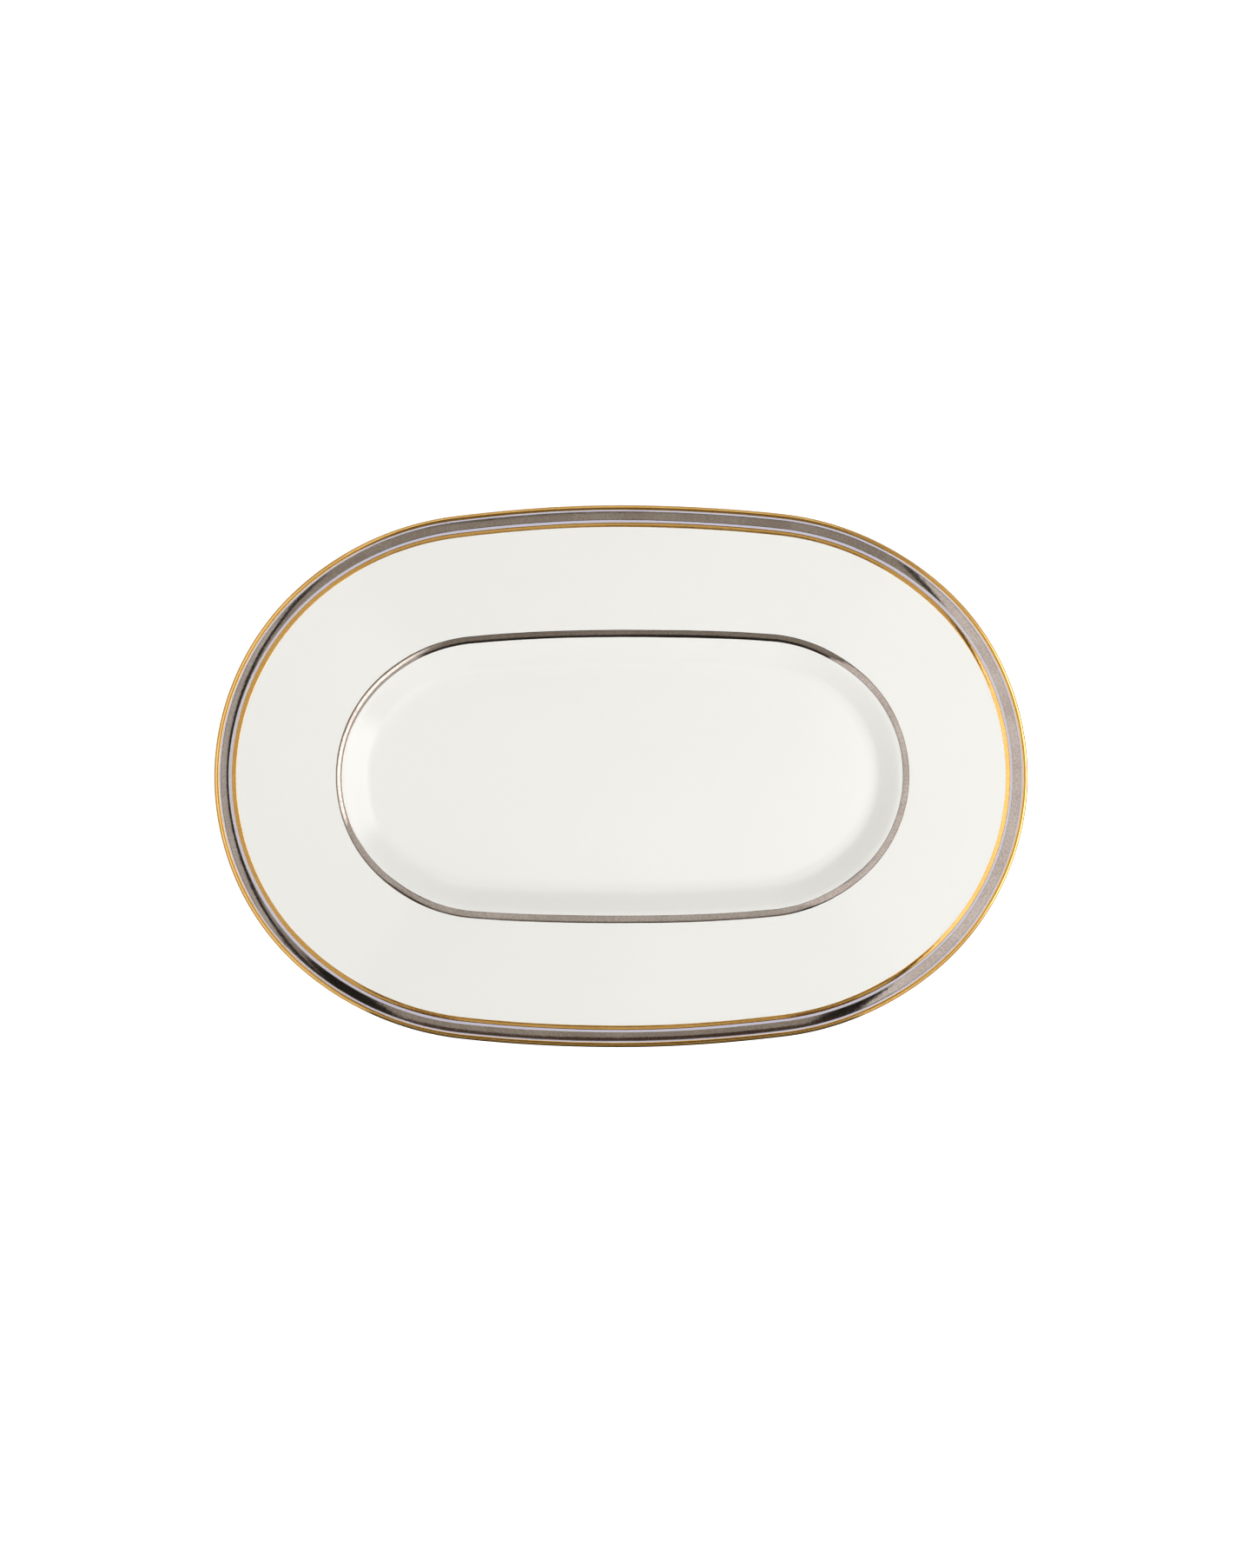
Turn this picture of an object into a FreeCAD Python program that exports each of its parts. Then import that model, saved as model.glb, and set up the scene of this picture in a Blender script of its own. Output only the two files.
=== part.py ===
"""Oval china serving platter: a porcelain body, its glaze, and the gold and platinum lines fired on it.

The plan is an eight-centre oval: two end arcs, four shoulder arcs and two side arcs that meet in tangency.
Every outline on the platter is that oval moved inwards by a constant distance. So one cross-section, given
as insets from the edge and heights above the table, makes the whole rim, well wall and foot: it is turned
about the eight arc centres, over each arc.

Frame: millimetres, +Z up, +X along the long side, origin on the table under the middle of the platter.
"""

import FreeCAD, Part
import math
import os

import Sketcher

# ------------------------------------------------------------------ driving dimensions, in millimetres
SIZES = {
    # finished size, over the gold edge line
    "half_length": 180.0,
    "half_width": 120.0,
    "end_radius": 112.8,
    "shoulder_radius": 129.2,
    "shoulder_angle": 50.0,
    # coats
    "glaze_thickness": 0.35,
    "metal_thickness": 0.12,
    "foot_wipe_height": 0.7,
    # cross-section of the body: insets from the body's own edge, heights above the table
    "join_inset": 75.0,
    "floor_height": 8.6,
    "cove_inset": 64.4,
    "cove_radius": 10.0,
    "verge_inset": 54.4,
    "verge_height": 19.6,
    "verge_radius": 4.0,
    "flare_inset": 7.5,
    "flare_height": 27.1,
    "flare_radius": 45.0,
    "lip_height": 29.98,
    "lip_thickness": 2.6,
    "lip_radius": 1.1,
    "under_flare_inset": 8.5,
    "under_flare_height": 24.5,
    "under_verge_inset": 52.0,
    "under_verge_height": 15.7,
    "under_verge_radius": 7.0,
    "foot_root_inset": 61.4,
    "foot_root_height": 4.8,
    "foot_root_radius": 2.5,
    "foot_outer_inset": 62.2,
    "foot_inner_inset": 66.6,
    "foot_edge_radius": 0.9,
    "base_inset": 67.6,
    "base_height": 3.5,
    "base_radius": 2.0,
    # metal lines: insets from the finished outline, and the level above which each lies
    "gold_edge_inset": 1.9,
    "gold_edge_level": 27.2,
    "platinum_outer_inset": 2.9,
    "platinum_inner_inset": 6.7,
    "gold_outer_inset": 7.7,
    "gold_inner_inset": 9.7,
    "platinum_level": 27.1,
    "gold_line_level": 26.0,
    "verge_outer_inset": 53.3,
    "verge_inner_inset": 56.2,
    "verge_line_level": 17.0,
    # how far the tools that trim the coats reach past the platter
    "tool_margin": 3.0,
}

# The arcs meet in tangency. The end arc's centre is on the X axis and the side arc's on the Y axis; the side
# arc follows from the half width and the shoulder arc.
END_CENTRE = "(Sizes.half_length - Sizes.end_radius)"
SHOULDER_TURN = "(Sizes.shoulder_angle * 1 deg)"
SHOULDER_STEP = "(Sizes.shoulder_radius - Sizes.end_radius)"
SHOULDER_CENTRE_X = f"({END_CENTRE} - {SHOULDER_STEP} * cos({SHOULDER_TURN}))"
SHOULDER_CENTRE_Y = f"(-{SHOULDER_STEP} * sin({SHOULDER_TURN}))"
SHOULDER_GAP = "(Sizes.half_width - Sizes.shoulder_radius)"
SIDE_CENTRE = (
    f"(({SHOULDER_CENTRE_X} ^ 2 + {SHOULDER_CENTRE_Y} ^ 2 - {SHOULDER_GAP} ^ 2)"
    f" / (2 * ({SHOULDER_GAP} - {SHOULDER_CENTRE_Y})))"
)
SIDE_RADIUS = f"({SIDE_CENTRE} + Sizes.half_width)"
SIDE_TURN = f"atan(({SHOULDER_CENTRE_Y} + {SIDE_CENTRE}) / {SHOULDER_CENTRE_X})"
COATS = "(Sizes.glaze_thickness + Sizes.metal_thickness)"

doc = FreeCAD.newDocument("platter")
sheet = doc.addObject("Spreadsheet::Sheet", "Sizes")
for row, (alias, size) in enumerate(SIZES.items(), start=1):
    sheet.set(f"A{row}", alias)
    sheet.set(f"B{row}", str(size))
    sheet.setAlias(f"B{row}", alias)
doc.recompute()


def value(expression):
    """The number that an expression over the sheet's cells stands for."""
    result = sheet.evalExpression(expression)
    return float(getattr(result, "Value", result))


def constrain(sketch, bound_to, *geometry):
    """Adds a dimension to a sketch and binds it to an expression."""
    *kind, guess = geometry
    index = sketch.addConstraint(Sketcher.Constraint(*kind, guess))
    sketch.setExpression(f"Constraints[{index}]", bound_to)


def origin_plane(body, role):
    """One of a body's own origin planes."""
    return next(feature for feature in body.Origin.OriginFeatures if feature.Role == role)


def attach(sketch, body, role):
    """Lays a sketch on one of its body's own origin planes."""
    sketch.AttachmentSupport = (origin_plane(body, role), "")
    sketch.MapMode = "FlatFace"


# ------------------------------------------------------------------ the plan
def arcs_of_oval():
    """The oval's arcs, anticlockwise from the +X end: centre, radius, starting direction and sweep."""
    end = (END_CENTRE, "0", "Sizes.end_radius")
    opposite_end = (f"-{END_CENTRE}", "0", "Sizes.end_radius")
    side = ("0", f"-{SIDE_CENTRE}", SIDE_RADIUS)
    opposite_side = ("0", SIDE_CENTRE, SIDE_RADIUS)
    end_sweep = f"2 * {SHOULDER_TURN}"
    shoulder_sweep = f"{SIDE_TURN} - {SHOULDER_TURN}"
    side_sweep = f"180 deg - 2 * {SIDE_TURN}"

    def shoulder(sign_x, sign_y):
        return f"{sign_x} * {SHOULDER_CENTRE_X}", f"{sign_y} * {SHOULDER_CENTRE_Y}", "Sizes.shoulder_radius"

    return [
        (*end, f"-{SHOULDER_TURN}", end_sweep),
        (*shoulder(1, 1), SHOULDER_TURN, shoulder_sweep),
        (*side, SIDE_TURN, side_sweep),
        (*shoulder(-1, 1), f"180 deg - {SIDE_TURN}", shoulder_sweep),
        (*opposite_end, f"180 deg - {SHOULDER_TURN}", end_sweep),
        (*shoulder(-1, -1), f"180 deg + {SHOULDER_TURN}", shoulder_sweep),
        (*opposite_side, f"180 deg + {SIDE_TURN}", side_sweep),
        (*shoulder(1, -1), f"-{SIDE_TURN}", shoulder_sweep),
    ]


def draw_oval(sketch, inset):
    """Draws the oval outline moved inwards by an inset expression."""
    arcs = arcs_of_oval()
    drawn = []
    for x, y, radius, start, sweep in arcs:
        circle = Part.Circle()
        circle.Center = FreeCAD.Vector(value(x), value(y), 0)
        circle.Radius = value(f"{radius} - {inset}")
        first = math.radians(value(start))
        arc = Part.ArcOfCircle(circle, first, first + math.radians(value(sweep)))
        drawn.append(sketch.addGeometry(arc, False))
        constrain(sketch, f"{radius} - {inset}", "Radius", drawn[-1], circle.Radius)
    for arc, following in zip(drawn, drawn[1:] + drawn[:1]):
        sketch.addConstraint(Sketcher.Constraint("Tangent", arc, 2, following, 1))
    right, left = drawn[0], drawn[4]
    sketch.addConstraint(Sketcher.Constraint("PointOnObject", right, 3, -1))
    sketch.addConstraint(Sketcher.Constraint("Symmetric", right, 3, left, 3, -1, 1))
    constrain(sketch, END_CENTRE, "DistanceX", -1, 1, right, 3, value(END_CENTRE))
    for shoulder, (x, *_) in zip(drawn[1::2], arcs[1::2]):
        constrain(sketch, x, "DistanceX", -1, 1, shoulder, 3, value(x))


# ------------------------------------------------------------------ the cross-section
# Corners in order round the section: inset, height and rounding, each an expression over the sheet.
SECTION = [
    ("Sizes.join_inset", "Sizes.floor_height", None),
    ("Sizes.cove_inset", "Sizes.floor_height", "Sizes.cove_radius"),
    ("Sizes.verge_inset", "Sizes.verge_height", "Sizes.verge_radius"),
    ("Sizes.flare_inset", "Sizes.flare_height", "Sizes.flare_radius"),
    ("0", "Sizes.lip_height", "Sizes.lip_radius"),
    ("0", "Sizes.lip_height - Sizes.lip_thickness", "Sizes.lip_radius"),
    ("Sizes.under_flare_inset", "Sizes.under_flare_height", "Sizes.flare_radius"),
    ("Sizes.under_verge_inset", "Sizes.under_verge_height", "Sizes.under_verge_radius"),
    ("Sizes.foot_root_inset", "Sizes.foot_root_height", "Sizes.foot_root_radius"),
    ("Sizes.foot_outer_inset", "0", "Sizes.foot_edge_radius"),
    ("Sizes.foot_inner_inset", "0", "Sizes.foot_edge_radius"),
    ("Sizes.base_inset", "Sizes.base_height", "Sizes.base_radius"),
    ("Sizes.join_inset", "Sizes.base_height", None),
]


def rounding(before, corner, after, radius):
    """The arc that rounds a corner: its start, middle and end, as three vectors."""
    into = (before - corner).normalize()
    out = (after - corner).normalize()
    half_angle = into.getAngle(out) / 2
    towards_centre = (into + out).normalize()
    reach = radius / math.tan(half_angle)
    middle = corner + towards_centre * (radius / math.sin(half_angle) - radius)
    return corner + into * reach, middle, corner + out * reach


def draw_section(sketch, edge):
    """Draws the section inwards from the body's edge, which is given from the axis that it turns about."""
    corners = [
        FreeCAD.Vector(value(f"{edge} - {inset}"), value(height), 0) for inset, height, _ in SECTION
    ]
    count = len(corners)
    starts = list(corners)
    ends = list(corners)
    arcs = [None] * count
    points = [None] * count
    for i, (_, _, radius) in enumerate(SECTION):
        if radius is None:
            continue
        first, middle, last = rounding(corners[i - 1], corners[i], corners[(i + 1) % count], value(radius))
        ends[i], starts[i] = first, last
        arcs[i] = sketch.addGeometry(Part.Arc(first, middle, last), False)
        points[i] = sketch.addGeometry(Part.Point(corners[i]), True)
    lines = [
        sketch.addGeometry(Part.LineSegment(starts[i], ends[(i + 1) % count]), False) for i in range(count)
    ]
    for i, (inset, height, radius) in enumerate(SECTION):
        before = lines[i - 1]
        after = lines[i]
        if radius is None:
            sketch.addConstraint(Sketcher.Constraint("Coincident", before, 2, after, 1))
            corner = (after, 1)
        else:
            arc = arcs[i]
            arc_points = sorted((1, 2), key=lambda p: (sketch.getPoint(arc, p) - ends[i]).Length)
            sketch.addConstraint(Sketcher.Constraint("Tangent", before, 2, arc, arc_points[0]))
            sketch.addConstraint(Sketcher.Constraint("Tangent", arc, arc_points[1], after, 1))
            sketch.addConstraint(Sketcher.Constraint("PointOnObject", points[i], 1, before))
            sketch.addConstraint(Sketcher.Constraint("PointOnObject", points[i], 1, after))
            constrain(sketch, radius, "Radius", arc, value(radius))
            corner = (points[i], 1)
        constrain(sketch, f"{edge} - {inset}", "DistanceX", -1, 1, *corner, corners[i].x)
        constrain(sketch, height, "DistanceY", -1, 1, *corner, corners[i].y)


# ------------------------------------------------------------------ the porcelain body
def turn_section(body, name, arc):
    """Turns the section about one of the oval's arc centres, over that arc."""
    x, y, radius, start, sweep = arc
    sketch = body.newObject("Sketcher::SketchObject", f"{name}Section")
    attach(sketch, body, "XZ_Plane")
    turn = FreeCAD.Rotation(FreeCAD.Vector(0, 1, 0), value(start))
    sketch.AttachmentOffset = FreeCAD.Placement(FreeCAD.Vector(), turn)
    sketch.setExpression("AttachmentOffset.Base.x", x)
    sketch.setExpression("AttachmentOffset.Base.z", f"-({y})")
    sketch.setExpression("AttachmentOffset.Rotation.Angle", start)
    draw_section(sketch, f"{radius} - {COATS}")
    doc.recompute()
    sector = body.newObject("PartDesign::Revolution", f"{name}Sector")
    sector.Profile = sketch
    sector.ReferenceAxis = (sketch, ["V_Axis"])
    sector.setExpression("Angle", sweep)
    doc.recompute()


def make_porcelain_body():
    """The one fired casting: rim, verge, well, floor and foot ring."""
    body = doc.addObject("PartDesign::Body", "PorcelainBody")
    floor = body.newObject("Sketcher::SketchObject", "FloorOutline")
    attach(floor, body, "XY_Plane")
    floor.setExpression("AttachmentOffset.Base.z", "Sizes.base_height")
    draw_oval(floor, f"({COATS} + Sizes.join_inset)")
    doc.recompute()
    pad = body.newObject("PartDesign::Pad", "Floor")
    pad.Profile = floor
    pad.setExpression("Length", "Sizes.floor_height - Sizes.base_height")
    doc.recompute()
    for number, arc in enumerate(arcs_of_oval(), start=1):
        turn_section(body, f"Arc{number}", arc)
    return body


# ------------------------------------------------------------------ helpers for the coats
def make_offset(name, source, thickness):
    """The solid that a coat of the given thickness would grow the source to."""
    grown = doc.addObject("Part::Offset", name)
    grown.Source = source
    grown.Join = "Arc"
    grown.setExpression("Value", thickness)
    return grown


def make_prism(name, insets, low, high):
    """An upright prism over one oval, or over the ring between two, from one height to another."""
    outline = doc.addObject("Sketcher::SketchObject", f"{name}Outline")
    for inset in insets:
        draw_oval(outline, inset)
    outline.setExpression("Placement.Base.z", low)
    prism = doc.addObject("Part::Extrusion", name)
    prism.Base = outline
    prism.DirMode = "Normal"
    prism.Solid = True
    prism.setExpression("LengthFwd", f"{high} - ({low})")
    return prism


def combine(kind, name, base, tool):
    """A boolean of two solids: kind is Part::Cut, Part::Common or Part::Fuse."""
    result = doc.addObject(kind, name)
    result.Base = base
    result.Tool = tool
    return result


# ------------------------------------------------------------------ the glaze
def make_glaze(body, glazed):
    """The two coats of glaze, parted by the bare face that the foot stands on."""
    coat = combine("Part::Cut", "GlazeCoat", glazed, body)
    outside = "-Sizes.tool_margin"
    inside_foot = f"({COATS} + (Sizes.foot_outer_inset + Sizes.foot_inner_inset) / 2)"
    mid_floor = "(Sizes.base_height + Sizes.floor_height) / 2"
    wiped = make_prism("FootWipe", [outside], outside, "Sizes.foot_wipe_height")
    under = make_prism("InsideFoot", [inside_foot], outside, mid_floor)
    upper_trim = combine("Part::Fuse", "UpperTrim", wiped, under)
    upper = combine("Part::Cut", "UpperGlaze", coat, upper_trim)
    base_trim = make_prism("BaseTrim", [inside_foot], "Sizes.foot_wipe_height", mid_floor)
    base = combine("Part::Common", "BaseGlaze", coat, base_trim)
    return upper, base


# ------------------------------------------------------------------ the metal lines
def make_line(name, film, outer, inner, level):
    """A line of metal on the glaze between two insets of the outline, above one level."""
    ring = make_prism(f"{name}Ring", [outer, inner], level, "Sizes.lip_height + Sizes.tool_margin")
    return combine("Part::Common", name, film, ring)


def make_metal_lines(body, glazed):
    """Gold over the lip, a platinum band and a gold line inside it, and platinum round the verge."""
    gilded = make_offset("GildedEnvelope", body, COATS)
    film = combine("Part::Cut", "MetalFilm", gilded, glazed)
    lines = {
        "gold_edge_line": ("-Sizes.tool_margin", "Sizes.gold_edge_inset", "Sizes.gold_edge_level"),
        "platinum_rim_band": (
            "Sizes.platinum_outer_inset",
            "Sizes.platinum_inner_inset",
            "Sizes.platinum_level",
        ),
        "gold_inner_line": ("Sizes.gold_outer_inset", "Sizes.gold_inner_inset", "Sizes.gold_line_level"),
        "platinum_verge_line": (
            "Sizes.verge_outer_inset",
            "Sizes.verge_inner_inset",
            "Sizes.verge_line_level",
        ),
    }
    names = {label: label.title().replace("_", "") for label in lines}
    return {label: make_line(names[label], film, *limits) for label, limits in lines.items()}


# ------------------------------------------------------------------ the platter
porcelain_body = make_porcelain_body()
glazed_envelope = make_offset("GlazedEnvelope", porcelain_body, "Sizes.glaze_thickness")
upper_glaze, base_glaze = make_glaze(porcelain_body, glazed_envelope)

nodes = {
    "porcelain_body": porcelain_body,
    "upper_glaze": upper_glaze,
    "base_glaze": base_glaze,
    **make_metal_lines(porcelain_body, glazed_envelope),
}
doc.recompute()

for item in doc.Objects:
    if "Invalid" in item.State or "Error" in item.State:
        raise RuntimeError(f"{item.Name} failed: {item.State}")
for label, item in nodes.items():
    item.Label = label
    if item.Shape.isNull() or not item.Shape.isValid() or len(item.Shape.Solids) != 1:
        raise RuntimeError(f"{label} is not one valid solid")

os.makedirs("parts", exist_ok=True)
for label, item in nodes.items():
    item.Shape.exportStep(f"parts/{label}.step")
    print(f"{label}: {item.Shape.Volume / 1000:.2f} cm3, {item.Shape.BoundBox}")
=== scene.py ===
"""Visual model of an oval china serving platter: porcelain, clear glaze, and fired gold and platinum lines.

Every surface is one cross-section carried round the platter's eight-centre oval. Sections are worked out in
millimetres, as insets from the finished edge and heights above the table, and placed in metres.
"""

import math

import bmesh
import bpy
import numpy as np
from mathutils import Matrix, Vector, noise


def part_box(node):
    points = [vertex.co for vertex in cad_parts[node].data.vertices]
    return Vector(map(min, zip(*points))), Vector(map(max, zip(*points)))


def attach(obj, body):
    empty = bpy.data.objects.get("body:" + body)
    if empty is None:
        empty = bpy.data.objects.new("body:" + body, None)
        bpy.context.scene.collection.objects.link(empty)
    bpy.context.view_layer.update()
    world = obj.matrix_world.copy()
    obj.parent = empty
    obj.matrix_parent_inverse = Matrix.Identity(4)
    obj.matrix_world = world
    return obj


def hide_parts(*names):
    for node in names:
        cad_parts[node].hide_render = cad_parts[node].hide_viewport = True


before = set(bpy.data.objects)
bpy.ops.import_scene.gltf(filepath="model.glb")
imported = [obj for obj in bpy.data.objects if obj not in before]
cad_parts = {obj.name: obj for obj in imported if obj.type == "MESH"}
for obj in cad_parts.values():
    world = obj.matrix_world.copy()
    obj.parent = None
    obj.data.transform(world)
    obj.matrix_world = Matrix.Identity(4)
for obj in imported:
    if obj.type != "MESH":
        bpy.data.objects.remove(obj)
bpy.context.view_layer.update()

# ------------------------------------------------------------------ driving dimensions, in millimetres
METRES = 0.001
EDGE_LOW, EDGE_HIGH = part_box("gold_edge_line")
HALF_LENGTH = EDGE_HIGH[0] / METRES
HALF_WIDTH = EDGE_HIGH[1] / METRES
# the oval: end, shoulder and side arcs, tangent to each other
END_RADIUS = HALF_LENGTH * 0.6267
SHOULDER_RADIUS = HALF_LENGTH * 0.7178
SHOULDER_TURN = math.radians(50)
END_CENTRE = HALF_LENGTH - END_RADIUS
SHOULDER_X = END_CENTRE - (SHOULDER_RADIUS - END_RADIUS) * math.cos(SHOULDER_TURN)
SHOULDER_Y = -(SHOULDER_RADIUS - END_RADIUS) * math.sin(SHOULDER_TURN)
SHOULDER_GAP = HALF_WIDTH - SHOULDER_RADIUS
SIDE_CENTRE = (SHOULDER_X**2 + SHOULDER_Y**2 - SHOULDER_GAP**2) / (2 * (SHOULDER_GAP - SHOULDER_Y))
SIDE_RADIUS = SIDE_CENTRE + HALF_WIDTH
SIDE_TURN = math.atan2(SHOULDER_Y + SIDE_CENTRE, SHOULDER_X)

EDGE_TO_BODY = 0.47
GLAZE = 0.35
FILM = 0.03
FILM_BITE = 0.03
FOOT_WIPE = 0.7
SKIN_GAP = 0.01

# corners of the body's section: inset from the body's edge, height, rounding
TOP_CORNERS = [
    (75.0, 8.6, 0),
    (67.4, 8.6, 10.0),
    (56.7, 18.3, 13.0),
    (53.0, 19.8, 2.0),
    (7.5, 27.1, 45.0),
    (0.0, 29.98, 1.1),
]
UNDER_CORNERS = [
    (0.0, 27.38, 1.1),
    (8.5, 24.5, 45.0),
    (52.0, 15.7, 7.0),
    (61.4, 4.8, 2.5),
    (62.2, 0.0, 0.9),
    (66.6, 0.0, 0.9),
    (67.6, 3.5, 2.0),
    (75.0, 3.5, 0),
]
FLOOR_RINGS = [82.0, 90.0, 98.0, 105.0]

# the fired lines: insets of both edges from the finished outline
GOLD_EDGE_INSET = 2.25
GOLD_EDGE_UNDER = 1.0
PLATINUM_BAND = (2.9, 6.7)
GOLD_LINE = (7.7, 9.7)
VERGE_LINE = (53.3, 56.2)

STATIONS = 480

# how the clay moved in firing, in millimetres, and how far the well lies off the rim's own oval
DRAW_FROM = 12.0
END_DRAW = -0.65
SIDE_DRAW = 2.2
SIDE_REACH = 0.64
WELL_SHIFT = 0.7
WARP_FROM = 3.0
WARP_TO = 24.0
WARP_SIZE = 70.0
WARP_LIFT = 0.22
WARP_PLAN = 0.3
RIPPLE_SIZE = 22.0
RIPPLE_LIFT = 0.03
FLOOR_SHARE = 0.15

# meshes and brush work: the weld in metres, the rest in millimetres
WELD = 1e-7
GLAZE_TAPER = 1.2
FILM_FEATHER = 0.06
FILM_STEP = 0.3
BRUSH_DRIFT = 0.15
BRUSH_DRIFT_SIZE = 60.0
BRUSH_SHAKE = 0.05
BRUSH_SHAKE_SIZE = 8.0
VERGE_LEAN = 0.4

# looks: colours, and scales of noise over the plan in cycles to the metre
GLAZE_COOL = (0.812, 0.808, 0.776, 1)
GLAZE_WARM = (0.842, 0.832, 0.790, 1)
HAZE_COLOR = (0.46, 0.43, 0.55, 1)
HAZE_SHARE = 0.8
HAZE_INSET = (1.0, 8.2, 0.3)
TONE_SCALE = 9.0
GLAZE_IOR = 1.5
GLAZE_SHINE_SCALE = 25.0
GLAZE_ROUGHNESS = (0.04, 0.1)
GLAZE_SWELL_SCALE = 60.0
GLAZE_PEEL_SCALE = 900.0
GLAZE_PEEL = 0.05
GLAZE_RELIEF = 0.00002
SPECK_CELLS = 45.0
SPECK_CORE = 0.5
# size in cells, shift, share of cells, tint
SPECKS = [
    (0.009, 0.0, 0.05, (0.45, 0.22, 0.10, 1)),
    (0.007, 3.3, 0.08, (0.42, 0.41, 0.38, 1)),
]

# each metal: where it is thick, where it is thin, and its roughness from smooth to dull
GOLD = ((0.98, 0.61, 0.20, 1), (0.90, 0.53, 0.15, 1), 0.05, 0.10)
PLATINUM = ((0.46, 0.41, 0.37, 1), (0.37, 0.32, 0.28, 1), 0.04, 0.10)
METAL_CLOUD_SCALE = 60.0
METAL_CLOUD = 0.45
METAL_GRAIN_SCALE = 1100.0
METAL_GRAIN = 0.55
METAL_MOTTLE = (0.38, 0.62)
METAL_RELIEF_SCALE = 500.0
METAL_RELIEF = 0.00001

BISQUE_DARK = (0.66, 0.62, 0.54, 1)
BISQUE_LIGHT = (0.78, 0.75, 0.68, 1)
BISQUE_GRAIN_SCALE = 1500.0
BISQUE_ROUGHNESS = (0.6, 0.85)
BISQUE_RELIEF = 0.00006
SOIL = (0.45, 0.4, 0.33, 1)
SOIL_SCALE = 45.0
SOIL_FROM = (0.45, 0.75)
SOIL_SHARE = 0.6

# what the platter mirrors: each range is low, high and, where a third is given, how soft its edges are
HORIZON = 0.02
EDGE = 0.03
SHARP = 0.01
MIDDLE_SOFT = 0.05
GAP_SOFT = 0.06
RIGHT_SIDE = (0.0, 0.1)
CEILING = (0.55, 0.51, 0.46, 1)
DARK = (0.03, 0.028, 0.025, 1)
RUSTY_DARK = (0.09, 0.05, 0.035, 1)
FLANKS = [(-0.27, -0.14), (0.24, 0.43)]
FLANK_FROM = (0.45, 0.50)
BACK_EDGE = (0.745, 0.765)
BACK_BARS = [(-0.22, -0.06), (0.06, 0.22)]
BAR_DEPTH = (0.48, 0.57, SHARP)
BACK_PANEL = (0.85, 0.83, 0.8, 1)
FRONT_EDGE = (-0.80, -0.83)
WALLS_FROM = (0.85, 0.88)
FRONT_WALL = (0.42, 0.38, 0.33, 1)
LEFT_FROM = -0.34
LEFT_BEND = 0.17
LEFT_BEND_TO = 0.4
LEFT_FRAME = 0.035
LEFT_BOX = (1.22, 1.18, 1.18, 1)
LEFT_OUTER = (0.95, 0.95, 0.95, 1)
LEFT_OUTER_FROM = (0.2, 0.4)
LEFT_OUTER_SPREAD = (0.85, 1.1)
LEFT_CORE_SLANT = (1.3, 2.2, 0.3)
LEFT_CORE_SPREAD = (1.2, 2.0, 0.2)
LEFT_CORE = (3.2, 3.1, 3.0, 1)
RIGHT_FROM = 0.635
RIGHT_BOW = 0.30
RIGHT_FRAME = 0.07
RIGHT_BOX = (0.85, 0.82, 0.8, 1)
RIGHT_BRIGHT = (3.0, 3.0, 3.0, 1)
RIGHT_BRIGHT_FROM = (0.7, 1.0)
RIGHT_BRIGHT_ALONG = (0.9, 0.5)
GLINT_ALONG = (-0.75, 0.25, 0.1)
GLINT = (0.86, 0.92, 0.03)
LOW_WALLS_FROM = (2.0, 2.4)
LOW_WALLS = (0.52, 0.51, 0.50, 1)
SIDEWAYS = (1.2, 2.4)
LAMP_SPREAD = (1.7, 9.0, 0.4)
LAMP = (3.5, 3.5, 3.5, 1)
GAPS_FROM = (1.2, 1.5)
BACK_GAPS = [(-1.0, -0.66), (0.41, 0.77)]
FRONT_GAP = (-0.5, 0.42, GAP_SOFT)
FRONT_GAP_FROM = (0.97, 1.06)
FRONT_OPENING = (4.0, 12.0, 0.5)
CAMERA_SHADE = (0.06, 0.44, EDGE)
BACKDROP = (0.97, 0.97, 0.97, 1)

# the lights in metres: name, place, size, brightness
STUDIO_LIGHTS = [
    ("overhead", (0.0, 0.0, 2.6), 1.8, 0.76),
    ("right", (0.85, 0.0, 0.85), 0.6, 0.15),
    ("front_right", (0.60, -0.60, 0.85), 0.6, 0.27),
    ("front_left", (-1.37, -1.37, 0.52), 0.8, 0.13),
    ("back_left", (-1.37, 1.37, 0.52), 0.8, 0.10),
    ("back", (0.0, 1.16, 0.31), 0.5, 0.14),
    ("front", (0.0, -1.16, 0.31), 0.5, 0.15),
]

# the floor and the camera, in metres
FLOOR_HALF = 10.0
PAPER_DARK = (0.86, 0.86, 0.86, 1)
PAPER_LIGHT = (0.88, 0.88, 0.88, 1)
PAPER_SCALE = 3.0
PAPER_ROUGHNESS = 0.9
SWEEP_FROM = 0.6
SWEEP_TO = 2.5
NEAR_GLOW = 0.45
FAR_GLOW = 0.95
CAMERA_HEIGHT = 2.2
AIM_HEIGHT = 0.028
FRAME_HEIGHT = 0.6939
CAMERA_OFFSET = (0.0029, -0.0034)
CAMERA_TURN = math.radians(-0.35)


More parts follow.
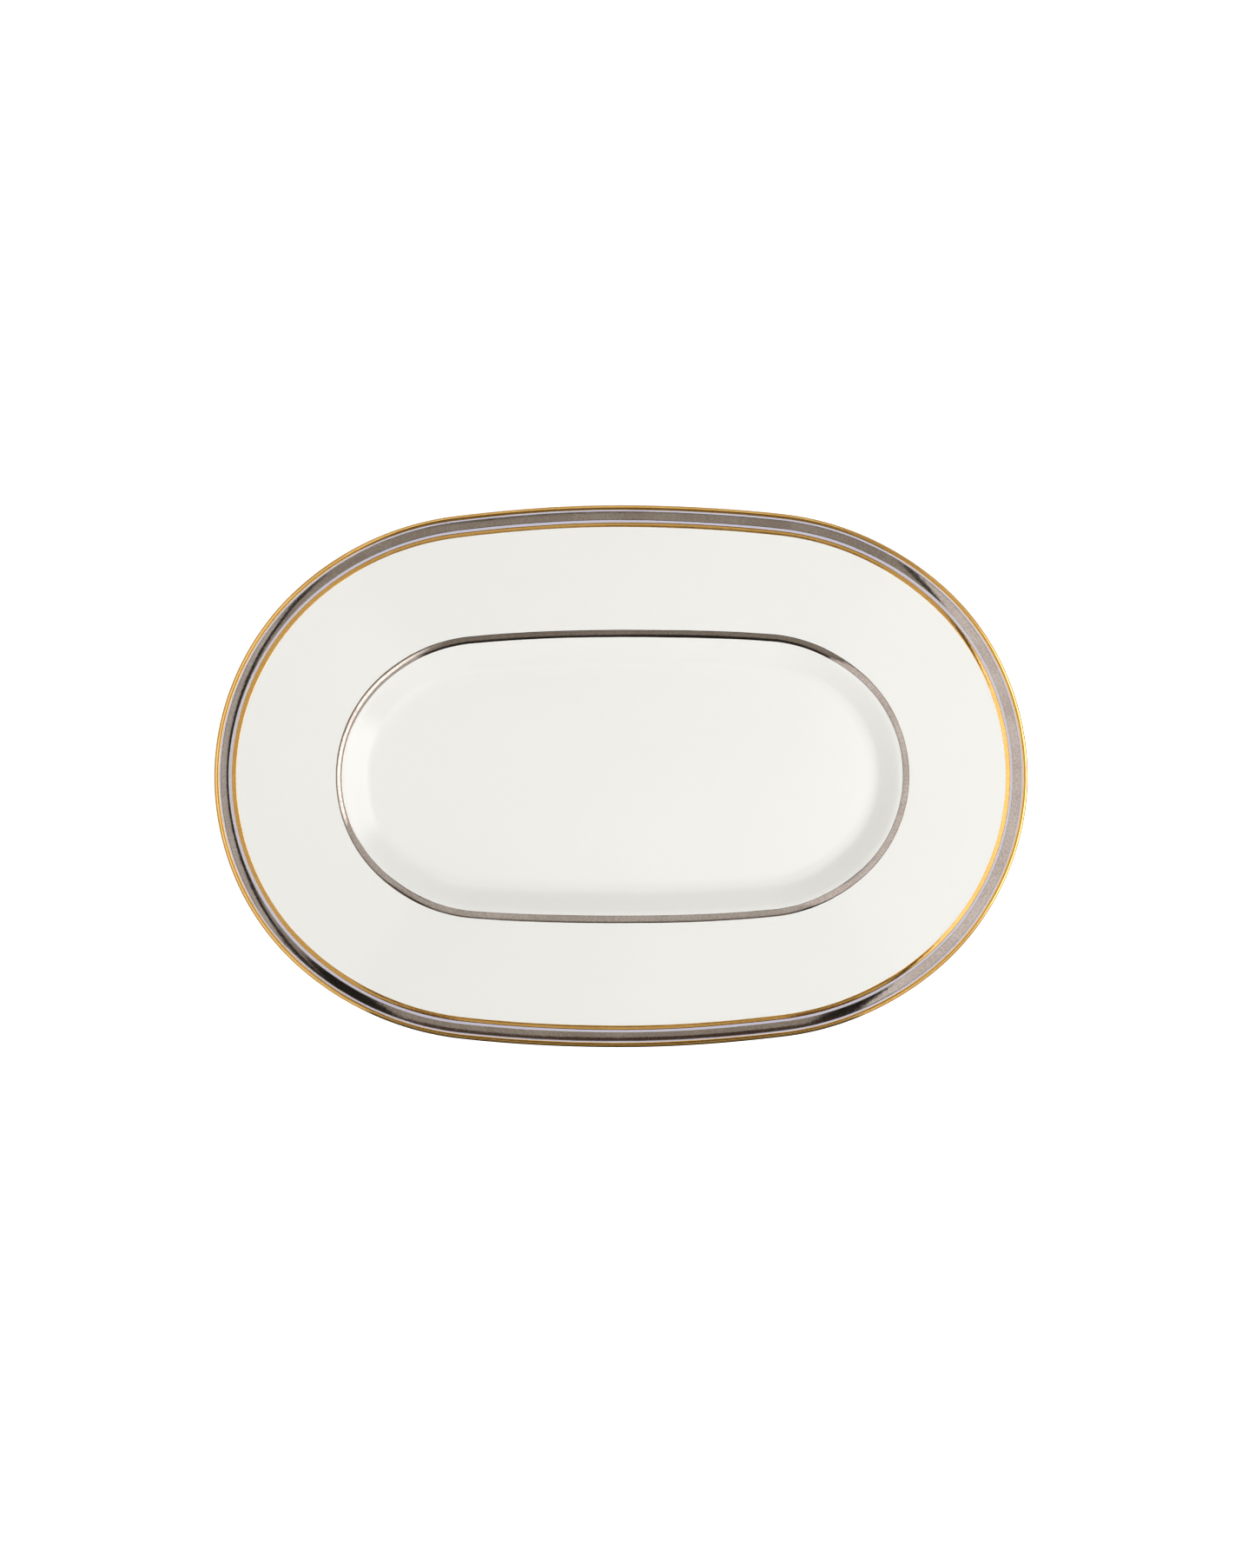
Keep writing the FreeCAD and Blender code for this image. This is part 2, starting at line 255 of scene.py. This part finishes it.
# ------------------------------------------------------------------ the oval and the section
def oval_stations(count):
    """Arc centre, outline radius and outward direction at even steps round the outline."""
    quarter_turn = math.pi / 2
    arcs = [
        ((END_CENTRE, 0.0), END_RADIUS, 0.0, SHOULDER_TURN),
        ((SHOULDER_X, SHOULDER_Y), SHOULDER_RADIUS, SHOULDER_TURN, SIDE_TURN),
        ((0.0, -SIDE_CENTRE), SIDE_RADIUS, SIDE_TURN, quarter_turn),
    ]
    quarter = sum(radius * (end - start) for _, radius, start, end in arcs)
    rows = []
    for i in range(count):
        turn, along = divmod(4 * quarter * i / count, quarter)
        if turn % 2:
            along = quarter - along
        for centre, radius, start, end in arcs:
            angle = start + along / radius
            if angle <= end:
                break
            along -= radius * (end - start)
        flip_x = -1 if turn in (1, 2) else 1
        flip_y = -1 if turn in (2, 3) else 1
        out = (flip_x * math.cos(angle), flip_y * math.sin(angle))
        rows.append((flip_x * centre[0], flip_y * centre[1], radius, *out))
    return np.array(rows).T


CENTRE_X, CENTRE_Y, RADIUS, OUT_X, OUT_Y = oval_stations(STATIONS)


def turned(vector, angle):
    """A vector of the section's plane turned anticlockwise."""
    cos, sin = math.cos(angle), math.sin(angle)
    return Vector((vector.x * cos - vector.y * sin, vector.x * sin + vector.y * cos))


def rounded_path(corners, line_step=3.5, arc_step=1.0, arc_turn=math.radians(6)):
    """A path through rounded corners, sampled: inset, height, and the two parts of the outward normal."""
    corners = [(Vector((-inset, height)), radius) for inset, height, radius in corners]
    quarter_turn = math.pi / 2
    points = []
    for i, (corner, radius) in enumerate(corners):
        if radius == 0:
            ends = (corner, corners[i + 1][0]) if i == 0 else (corners[i - 1][0], corner)
            points.append((corner, turned((ends[1] - ends[0]).normalized(), quarter_turn)))
            continue
        into = (corner - corners[i - 1][0]).normalized()
        out = (corners[i + 1][0] - corner).normalized()
        turn = math.atan2(into.x * out.y - into.y * out.x, into.dot(out))
        hollow = math.copysign(radius, turn)
        first_normal = turned(into, quarter_turn)
        centre = corner - into * (radius * math.tan(abs(turn) / 2)) + first_normal * hollow
        steps = max(math.ceil(abs(turn) / arc_turn), math.ceil(abs(turn) * radius / arc_step), 2)
        for k in range(steps + 1):
            normal = turned(first_normal, turn * k / steps)
            points.append((centre - normal * hollow, normal))
    path = points[:1]
    for (before, normal_before), (after, normal) in zip(points, points[1:]):
        pieces = max(1, math.ceil((after - before).length / line_step))
        for k in range(1, pieces + 1):
            share = k / pieces
            path.append((before.lerp(after, share), normal_before.lerp(normal, share).normalized()))
    return np.array([(-point.x, point.y, -normal.x, normal.y) for point, normal in path])


SECTION = rounded_path(TOP_CORNERS + UNDER_CORNERS)
RUN = np.concatenate([[0.0], np.cumsum(np.hypot(*np.diff(SECTION[:, :2], axis=0).T))])
LIP = int(np.argmin(SECTION[:, 0]))
FOOT = int(np.argmin(SECTION[:, 1]))


def coated(run, thickness):
    """Inset from the finished outline and height of a coat's surface, at runs along the section."""
    inset, height, normal_inset, normal_height = (np.interp(run, RUN, SECTION[:, k]) for k in range(4))
    return inset + normal_inset * thickness + EDGE_TO_BODY, height + normal_height * thickness


def run_at_inset(inset):
    """The run at which the glaze over the top side reaches an inset from the finished outline."""
    reached, _ = coated(RUN[: LIP + 1], GLAZE)
    return np.interp(-np.asarray(inset), -reached, RUN[: LIP + 1])


def run_at_wipe(outer_side):
    """The run at which the foot ring's outer or inner wall passes the level that is wiped bare."""
    if outer_side:
        return float(np.interp(-FOOT_WIPE, -SECTION[LIP : FOOT + 1, 1], RUN[LIP : FOOT + 1]))
    return float(np.interp(FOOT_WIPE, SECTION[FOOT:, 1], RUN[FOOT:]))


# ------------------------------------------------------------------ unevenness of the fired clay
def well_draw(inset):
    """How much further in the well lies than the section says: its sides are flatter than the rim's."""
    share = np.clip((inset - DRAW_FROM) / (VERGE_LINE[0] - DRAW_FROM), 0.0, 1.0)
    along_side = np.abs(CENTRE_X + RADIUS * OUT_X) / (SIDE_REACH * HALF_LENGTH)
    swell = np.cos(math.pi / 2 * np.minimum(along_side, 1.0)) ** 2
    return share * (END_DRAW + SIDE_DRAW * swell - WELL_SHIFT * OUT_X)


def wave(x, y, size, seed):
    """Smooth noise from -1 to 1 over the plan, with features about one size across, in millimetres."""
    return noise.noise(Vector((x / size, y / size, seed)))


def kiln_warp(x, y, height):
    """How far firing moved a point: nothing at the foot, most at the rim."""
    free = min(max((height - WARP_FROM) / (WARP_TO - WARP_FROM), 0.0), 1.0)
    lift = WARP_LIFT * wave(x, y, WARP_SIZE, 3.7) + RIPPLE_LIFT * wave(x, y, RIPPLE_SIZE, 8.1)
    return (
        free * WARP_PLAN * wave(x, y, WARP_SIZE, 21.3),
        free * WARP_PLAN * wave(x, y, WARP_SIZE, 34.9),
        (free + FLOOR_SHARE * (height > WARP_FROM)) * lift,
    )


# ------------------------------------------------------------------ meshes
def ring(inset, height, closed_in=False):
    """A ring of a mesh: warped points in metres, with their insets. Closed in, it lies along the middle."""
    inset = np.broadcast_to(inset, CENTRE_X.shape)
    height = np.broadcast_to(height, CENTRE_X.shape)
    reach = RADIUS - inset - well_draw(inset)
    x = CENTRE_X + reach * OUT_X
    y = (CENTRE_Y + reach * OUT_Y) * (0.0 if closed_in else 1.0)
    points = []
    for px, py, pz, depth in zip(x, y, height, inset):
        dx, dy, dz = kiln_warp(px, py, pz)
        points.append((Vector((px + dx, py + dy, pz + dz)) * METRES, depth))
    return points


def coat_rings(runs, thickness):
    """Rings over a coat's surface, at runs along the section."""
    return [ring(inset, height) for inset, height in zip(*coated(runs, thickness))]


def floor_rings(height):
    """Rings from the middle of the platter out to the section, at one height."""
    rings = [ring(inset, height) for inset in FLOOR_RINGS]
    return [ring(FLOOR_RINGS[-1], height, closed_in=True), *rings[::-1]]


def build(name, rings, wraps, node, material):
    """A closed mesh through rings. It wraps round its section, or ends in the middle of the platter."""
    shape = bmesh.new()
    depth_layer = shape.verts.layers.float.new("edge_inset")
    rows = []
    for points in rings:
        row = [shape.verts.new(place) for place, _ in points]
        for vertex, (_, depth) in zip(row, points):
            vertex[depth_layer] = depth
        rows.append(row)
    if wraps:
        rows.append(rows[0])
    for here, there in zip(rows, rows[1:]):
        for i in range(STATIONS):
            j = (i + 1) % STATIONS
            shape.faces.new((here[i], there[i], there[j], here[j]))
    bmesh.ops.remove_doubles(shape, verts=shape.verts, dist=WELD)
    bmesh.ops.recalc_face_normals(shape, faces=shape.faces)
    mesh = bpy.data.meshes.new(name)
    shape.to_mesh(mesh)
    shape.free()
    mesh.shade_smooth()
    mesh.materials.append(material)
    piece = bpy.data.objects.new(name, mesh)
    bpy.context.collection.objects.link(piece)
    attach(piece, "root")
    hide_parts(node)
    return piece


def make_casting(material):
    """The porcelain itself, seen only where the foot is wiped bare."""
    body = coat_rings(RUN, 0.0)
    top = floor_rings(TOP_CORNERS[0][1])
    base = floor_rings(UNDER_CORNERS[-1][1])
    rings = top + body + base[::-1]
    return build("porcelain_casting", rings, False, "porcelain_body", material)


def make_glaze_coat(name, node, runs, middle, outward, material):
    """A coat of glaze over part of the section and the middle of the platter, thinning at the foot."""
    to_foot = np.abs(runs - (runs[-1] if outward > 0 else runs[0]))
    thickness = SKIN_GAP + (GLAZE - SKIN_GAP) * np.clip(to_foot / GLAZE_TAPER, 0.0, 1.0) ** 0.5
    outer = coat_rings(runs, thickness)
    inner = coat_rings(runs, SKIN_GAP)
    outer_middle = floor_rings(middle + outward * GLAZE)
    inner_middle = floor_rings(middle + outward * SKIN_GAP)
    if outward < 0:
        outer, inner = outer[::-1], inner[::-1]
    rings = outer_middle + outer + inner[::-1] + inner_middle[::-1]
    return build(name, rings, False, node, material)


def make_upper_glaze(material):
    """The glaze over the well, rim and lip, and down the underside to the foot."""
    end = run_at_wipe(outer_side=True)
    runs = np.append(RUN[RUN < end - GLAZE_TAPER / 4], end)
    return make_glaze_coat("upper_glaze_coat", "upper_glaze", runs, TOP_CORNERS[0][1], 1, material)


def make_base_glaze(material):
    """The glaze under the base, inside the foot ring."""
    start = run_at_wipe(outer_side=False)
    runs = np.insert(RUN[RUN > start + GLAZE_TAPER / 4], 0, start)
    return make_glaze_coat("base_glaze_coat", "base_glaze", runs, UNDER_CORNERS[-1][1], -1, material)


def brushed(inset, seed, lean=0.0):
    """A line's edge all the way round: its inset, drawn by hand, leaning inwards along both sides."""
    wobble = [
        BRUSH_DRIFT * wave(x, y, BRUSH_DRIFT_SIZE, seed) + BRUSH_SHAKE * wave(x, y, BRUSH_SHAKE_SIZE, seed)
        for x, y in zip(CENTRE_X + RADIUS * OUT_X, CENTRE_Y + RADIUS * OUT_Y)
    ]
    return inset + np.array(wobble) + lean * OUT_Y**2


def make_line(name, node, start, end, material):
    """A thin film of metal on the glaze between two runs, given all the way round, with feathered edges."""
    width = float(np.mean(end - start))
    feather = FILM_FEATHER / width
    inside = max(2, math.ceil(width / FILM_STEP))
    shares = [0.0, feather, *np.linspace(feather, 1 - feather, inside + 1)[1:-1], 1 - feather, 1.0]
    top = [ring(*coated(start + (end - start) * s, GLAZE + FILM * (0 < s < 1))) for s in shares]
    under = [ring(*coated(start + (end - start) * s, GLAZE - FILM_BITE)) for s in shares]
    return build(name, top + under[::-1], True, node, material)


def make_metal_lines(gold, platinum):
    """The four fired lines, from the lip inwards."""
    lip_under = RUN[LIP:FOOT]
    reached, _ = coated(lip_under, GLAZE)
    underside = np.interp(brushed(GOLD_EDGE_UNDER, 5.5), reached, lip_under)
    inner_edge = run_at_inset(brushed(GOLD_EDGE_INSET, 6.5))
    make_line("gold_edge", "gold_edge_line", inner_edge, underside, gold)
    for name, node, slot, (outer, inner), lean, seed, material in (
        ("platinum_band", "platinum_rim_band", "platinum", PLATINUM_BAND, 0.0, 40.5, platinum),
        ("gold_line", "gold_inner_line", "gold", GOLD_LINE, 0.0, 50.5, gold),
        ("platinum_verge", "platinum_verge_line", "platinum", VERGE_LINE, VERGE_LEAN, 60.5, platinum),
    ):
        start = run_at_inset(brushed(inner, seed, lean))
        end = run_at_inset(brushed(outer, seed + 4))
        make_line(name, node, start, end, material)


# ------------------------------------------------------------------ materials
class Nodes:
    """A node tree that is written as nested calls: each call adds one node and gives its output."""

    def __init__(self, tree):
        self.tree = tree
        tree.nodes.clear()

    def add(self, kind, output=0, settings=None, **inputs):
        node = self.tree.nodes.new(kind)
        for key, setting in (settings or {}).items():
            setattr(node, key, setting)
        for key, given in inputs.items():
            socket = node.inputs[int(key[1:])] if key[1:].isdigit() else node.inputs[key.replace("_", " ")]
            if isinstance(given, bpy.types.NodeSocket):
                self.tree.links.new(given, socket)
            else:
                socket.default_value = given
        return node.outputs[output]

    def math(self, operation, first, second=0.0):
        return self.add("ShaderNodeMath", 0, {"operation": operation}, i0=first, i1=second)

    def step(self, given, low, high):
        """0 below low, 1 above high, smooth between."""
        settings = {"interpolation_type": "SMOOTHSTEP"}
        return self.add("ShaderNodeMapRange", 0, settings, Value=given, From_Min=low, From_Max=high)

    def between(self, given, low, high, soft):
        """1 from low to high, with soft edges."""
        rise = self.step(given, low - soft, low)
        fall = self.step(given, high, high + soft)
        return self.math("SUBTRACT", rise, fall)

    def mix(self, share, first, second):
        settings = {"data_type": "RGBA"}
        return self.add("ShaderNodeMix", 2, settings, i0=share, i6=first, i7=second)

    def noise(self, place, scale, detail=2.0):
        return self.add("ShaderNodeTexNoise", 0, None, Vector=place, Scale=scale, Detail=detail)

    def bump(self, height, distance):
        return self.add("ShaderNodeBump", 0, None, Height=height, Distance=distance, Strength=1.0)

    def spread_over(self, given, low, high):
        """A value from low to high as the given noise goes from 0 to 1."""
        return self.add("ShaderNodeMapRange", 0, None, Value=given, To_Min=low, To_Max=high)

    def finish(self, shader, output):
        end = self.tree.nodes.new(output)
        self.tree.links.new(shader, end.inputs["Surface"])


def new_material(name):
    """A material with an empty tree, and the object's own coordinates in metres."""
    material = bpy.data.materials.new(name)
    material.use_nodes = True
    nodes = Nodes(material.node_tree)
    return material, nodes, nodes.add("ShaderNodeTexCoord", "Object")


def make_glaze_material():
    """Warm white porcelain under clear glaze, with stray iron specks and a violet haze beside the metal."""
    material, nodes, place = new_material("glazed_white")
    tone = nodes.mix(nodes.noise(place, TONE_SCALE), GLAZE_COOL, GLAZE_WARM)
    inset = nodes.add("ShaderNodeAttribute", "Fac", {"attribute_name": "edge_inset"})
    haze = nodes.math("MULTIPLY", nodes.between(inset, *HAZE_INSET), HAZE_SHARE)
    color = nodes.mix(haze, tone, HAZE_COLOR)
    for size, seed, kept, tint in SPECKS:
        moved = nodes.add("ShaderNodeVectorMath", 0, {"operation": "ADD"}, i0=place, i1=(seed, seed, seed))
        cell = nodes.tree.nodes.new("ShaderNodeTexVoronoi")
        cell.inputs["Scale"].default_value = SPECK_CELLS
        nodes.tree.links.new(moved, cell.inputs["Vector"])
        chosen = nodes.add("ShaderNodeSeparateColor", 0, None, Color=cell.outputs["Color"])
        near = nodes.math("SUBTRACT", 1.0, nodes.step(cell.outputs["Distance"], size * SPECK_CORE, size))
        mask = nodes.math("MULTIPLY", near, nodes.math("LESS_THAN", chosen, kept))
        color = nodes.mix(mask, color, tint)
    peel = nodes.math("MULTIPLY", nodes.noise(place, GLAZE_PEEL_SCALE), GLAZE_PEEL)
    relief = nodes.math("ADD", nodes.noise(place, GLAZE_SWELL_SCALE, 1.0), peel)
    shader = nodes.add(
        "ShaderNodeBsdfPrincipled",
        0,
        None,
        Base_Color=color,
        Roughness=nodes.spread_over(nodes.noise(place, GLAZE_SHINE_SCALE), *GLAZE_ROUGHNESS),
        IOR=GLAZE_IOR,
        Normal=nodes.bump(relief, GLAZE_RELIEF),
    )
    nodes.finish(shader, "ShaderNodeOutputMaterial")
    return material


def make_metal_material(name, light, dark, smooth, dull):
    """A fired metal film: mottled where it was brushed thinner, and a little uneven."""
    material, nodes, place = new_material(name)
    cloud = nodes.noise(place, METAL_CLOUD_SCALE, 4.0)
    grain = nodes.noise(place, METAL_GRAIN_SCALE, 3.0)
    clouding = nodes.math("MULTIPLY", cloud, METAL_CLOUD)
    mottle = nodes.math("ADD", clouding, nodes.math("MULTIPLY", grain, METAL_GRAIN))
    color = nodes.mix(nodes.step(mottle, *METAL_MOTTLE), dark, light)
    shader = nodes.add(
        "ShaderNodeBsdfPrincipled",
        0,
        None,
        Base_Color=color,
        Metallic=1.0,
        Roughness=nodes.spread_over(grain, smooth, dull),
        Normal=nodes.bump(nodes.noise(place, METAL_RELIEF_SCALE, 3.0), METAL_RELIEF),
    )
    nodes.finish(shader, "ShaderNodeOutputMaterial")
    return material


def make_bisque_material():
    """Bare fired porcelain where the foot is wiped and ground: matt, grainy and slightly soiled."""
    material, nodes, place = new_material("bare_porcelain")
    grain = nodes.noise(place, BISQUE_GRAIN_SCALE, 4.0)
    stain = nodes.step(nodes.noise(place, SOIL_SCALE, 5.0), *SOIL_FROM)
    clay = nodes.mix(grain, BISQUE_DARK, BISQUE_LIGHT)
    color = nodes.mix(nodes.math("MULTIPLY", stain, SOIL_SHARE), clay, SOIL)
    shader = nodes.add(
        "ShaderNodeBsdfPrincipled",
        0,
        None,
        Base_Color=color,
        Roughness=nodes.spread_over(grain, *BISQUE_ROUGHNESS),
        Normal=nodes.bump(grain, BISQUE_RELIEF),
    )
    nodes.finish(shader, "ShaderNodeOutputMaterial")
    return material


# ------------------------------------------------------------------ studio
def make_floor():
    """A wide plain white sweep under the platter."""
    shape = bmesh.new()
    bmesh.ops.create_grid(shape, x_segments=8, y_segments=8, size=FLOOR_HALF)
    mesh = bpy.data.meshes.new("studio_floor")
    shape.to_mesh(mesh)
    shape.free()
    floor = bpy.data.objects.new("studio_floor", mesh)
    bpy.context.collection.objects.link(floor)
    floor.visible_glossy = False
    material, nodes, place = new_material("studio_white")
    paper = nodes.mix(nodes.noise(place, PAPER_SCALE), PAPER_DARK, PAPER_LIGHT)
    shader = nodes.add(
        "ShaderNodeBsdfPrincipled",
        0,
        None,
        Base_Color=paper,
        Roughness=PAPER_ROUGHNESS,
        Specular_IOR_Level=0.0,
        Emission_Color=(1, 1, 1, 1),
        Emission_Strength=nodes.add(
            "ShaderNodeMapRange",
            0,
            None,
            Value=nodes.add("ShaderNodeVectorMath", 1, {"operation": "LENGTH"}, i0=place),
            From_Min=SWEEP_FROM,
            From_Max=SWEEP_TO,
            To_Min=NEAR_GLOW,
            To_Max=FAR_GLOW,
        ),
    )
    nodes.finish(shader, "ShaderNodeOutputMaterial")
    mesh.materials.append(material)


def make_world():
    """What the platter mirrors: softboxes to both sides with dark frames, a dim ceiling, and low pale walls.

    A direction is told by where it meets a ceiling one unit up: across to +X and along to +Y. Spread is how
    far out that is, and slant is how far to the side it lies for its way to the front or back.
    """
    world = bpy.data.worlds.new("studio")
    bpy.context.scene.world = world
    world.use_nodes = True
    world.cycles_visibility.diffuse = False
    nodes = Nodes(world.node_tree)
    direction = nodes.add("ShaderNodeTexCoord", "Generated")
    parts = nodes.tree.nodes.new("ShaderNodeSeparateXYZ")
    nodes.tree.links.new(direction, parts.inputs[0])
    up = nodes.math("MAXIMUM", parts.outputs["Z"], HORIZON)
    across = nodes.math("DIVIDE", parts.outputs["X"], up)
    along = nodes.math("DIVIDE", parts.outputs["Y"], up)
    along_squared = nodes.math("MULTIPLY", along, along)
    spread = nodes.math("SQRT", nodes.math("ADD", nodes.math("MULTIPLY", across, across), along_squared))
    slant = nodes.math("DIVIDE", across, nodes.math("ABSOLUTE", along))
    front = nodes.step(along, 0.0, -MIDDLE_SOFT)
    back = nodes.step(along, 0.0, MIDDLE_SOFT)

    def both(first, second):
        return nodes.math("MULTIPLY", first, second)

    # the ceiling and what stands before and behind the platter
    color = CEILING
    for low, high in FLANKS:
        flank = both(nodes.between(across, low, high, EDGE), nodes.step(along, *FLANK_FROM))
        color = nodes.mix(flank, color, DARK)
    color = nodes.mix(nodes.step(along, *BACK_EDGE), color, RUSTY_DARK)
    for low, high in BACK_BARS:
        bar = both(nodes.between(across, low, high, EDGE), nodes.between(along, *BAR_DEPTH))
        color = nodes.mix(bar, color, RUSTY_DARK)
    color = nodes.mix(nodes.step(along, *FRONT_EDGE), color, DARK)
    beyond = nodes.step(spread, *WALLS_FROM)
    color = nodes.mix(both(beyond, back), color, BACK_PANEL)
    color = nodes.mix(both(beyond, front), color, FRONT_WALL)
    framed = nodes.math("SUBTRACT", 1.0, beyond)

    # the softbox to the left, and the brightest part of it
    bend = nodes.math("MULTIPLY", nodes.math("MINIMUM", along, LEFT_BEND_TO), LEFT_BEND)
    into_left = nodes.math("SUBTRACT", nodes.math("ADD", bend, LEFT_FROM), across)
    left_frame = nodes.step(into_left, -LEFT_FRAME - EDGE, -LEFT_FRAME)
    color = nodes.mix(both(left_frame, framed), color, DARK)
    color = nodes.mix(nodes.step(into_left, 0.0, SHARP), color, LEFT_BOX)
    outer_left = both(nodes.step(into_left, *LEFT_OUTER_FROM), nodes.step(spread, *LEFT_OUTER_SPREAD))
    color = nodes.mix(outer_left, color, LEFT_OUTER)
    core = both(nodes.between(slant, *LEFT_CORE_SLANT), nodes.between(spread, *LEFT_CORE_SPREAD))
    color = nodes.mix(both(core, front), color, LEFT_CORE)

    # the softbox to the right, brighter further out
    bow = nodes.math("MULTIPLY", along_squared, RIGHT_BOW)
    into_right = nodes.math("SUBTRACT", nodes.math("ADD", across, bow), RIGHT_FROM)
    right_frame = nodes.step(into_right, -RIGHT_FRAME - SHARP, -RIGHT_FRAME)
    color = nodes.mix(both(right_frame, framed), color, DARK)
    color = nodes.mix(nodes.step(into_right, 0.0, SHARP), color, RIGHT_BOX)
    nearer = nodes.step(along, *RIGHT_BRIGHT_ALONG)
    sideways = nodes.step(nodes.math("ABSOLUTE", slant), *SIDEWAYS)
    bright = both(both(nodes.step(into_right, *RIGHT_BRIGHT_FROM), nearer), sideways)
    color = nodes.mix(bright, color, RIGHT_BRIGHT)
    right_side = nodes.step(across, *RIGHT_SIDE)
    glint = both(both(nodes.between(along, *GLINT_ALONG), right_side), nodes.between(spread, *GLINT))
    color = nodes.mix(glint, color, RIGHT_BRIGHT)

    # dark gaps behind, then pale walls low down with one bright lamp to the right
    low_down = nodes.step(spread, *GAPS_FROM)
    for low, high in BACK_GAPS:
        gap = both(nodes.between(slant, low, high, GAP_SOFT), both(back, low_down))
        color = nodes.mix(gap, color, DARK)
    color = nodes.mix(nodes.step(spread, *LOW_WALLS_FROM), color, LOW_WALLS)
    aim = both(sideways, right_side)
    color = nodes.mix(both(aim, nodes.between(spread, *LAMP_SPREAD)), color, LAMP)

    # the dark gap in front, open only to the well's wall, and the dark camera overhead
    upright = nodes.between(slant, *FRONT_GAP)
    opening = nodes.between(spread, *FRONT_OPENING)
    closed = nodes.math("SUBTRACT", nodes.step(spread, *FRONT_GAP_FROM), opening)
    color = nodes.mix(both(both(upright, front), closed), color, DARK)
    color = nodes.mix(both(upright, nodes.between(spread, *CAMERA_SHADE)), color, DARK)

    seen = nodes.add("ShaderNodeLightPath", "Is Camera Ray")
    color = nodes.mix(seen, color, BACKDROP)
    nodes.finish(nodes.add("ShaderNodeBackground", 0, None, Color=color), "ShaderNodeOutputWorld")


def make_light(name, place, size, brightness):
    """A soft square light aimed at the platter, kept out of its reflections and out of the picture.

    Its brightness is what a white surface that faces it would show.
    """
    light = bpy.data.lights.new(name, "AREA")
    light.shape = "SQUARE"
    light.size = size
    light.energy = brightness * (math.pi * Vector(place).length) ** 2
    lamp = bpy.data.objects.new(name, light)
    bpy.context.collection.objects.link(lamp)
    lamp.location = place
    lamp.rotation_euler = (-Vector(place)).to_track_quat("-Z", "Y").to_euler()
    lamp.visible_glossy = False
    lamp.visible_camera = False


def make_camera():
    """Straight down from above, with the platter a little above and left of the middle, turned slightly."""
    camera = bpy.data.cameras.new("camera")
    camera.lens = camera.sensor_width * CAMERA_HEIGHT / FRAME_HEIGHT
    holder = bpy.data.objects.new("camera", camera)
    bpy.context.collection.objects.link(holder)
    holder.location = (*CAMERA_OFFSET, CAMERA_HEIGHT + AIM_HEIGHT)
    holder.rotation_euler = (0, 0, CAMERA_TURN)
    bpy.context.scene.camera = holder


make_camera()
make_floor()
make_world()
for name, place, size, brightness in STUDIO_LIGHTS:
    make_light(name, place, size, brightness)

glazed = make_glaze_material()
make_casting(make_bisque_material())
make_upper_glaze(glazed)
make_base_glaze(glazed)
make_metal_lines(
    make_metal_material("fired_gold", *GOLD),
    make_metal_material("fired_platinum", *PLATINUM),
)

scene = bpy.context.scene
scene.view_settings.view_transform = "Standard"
scene.view_settings.look = "None"
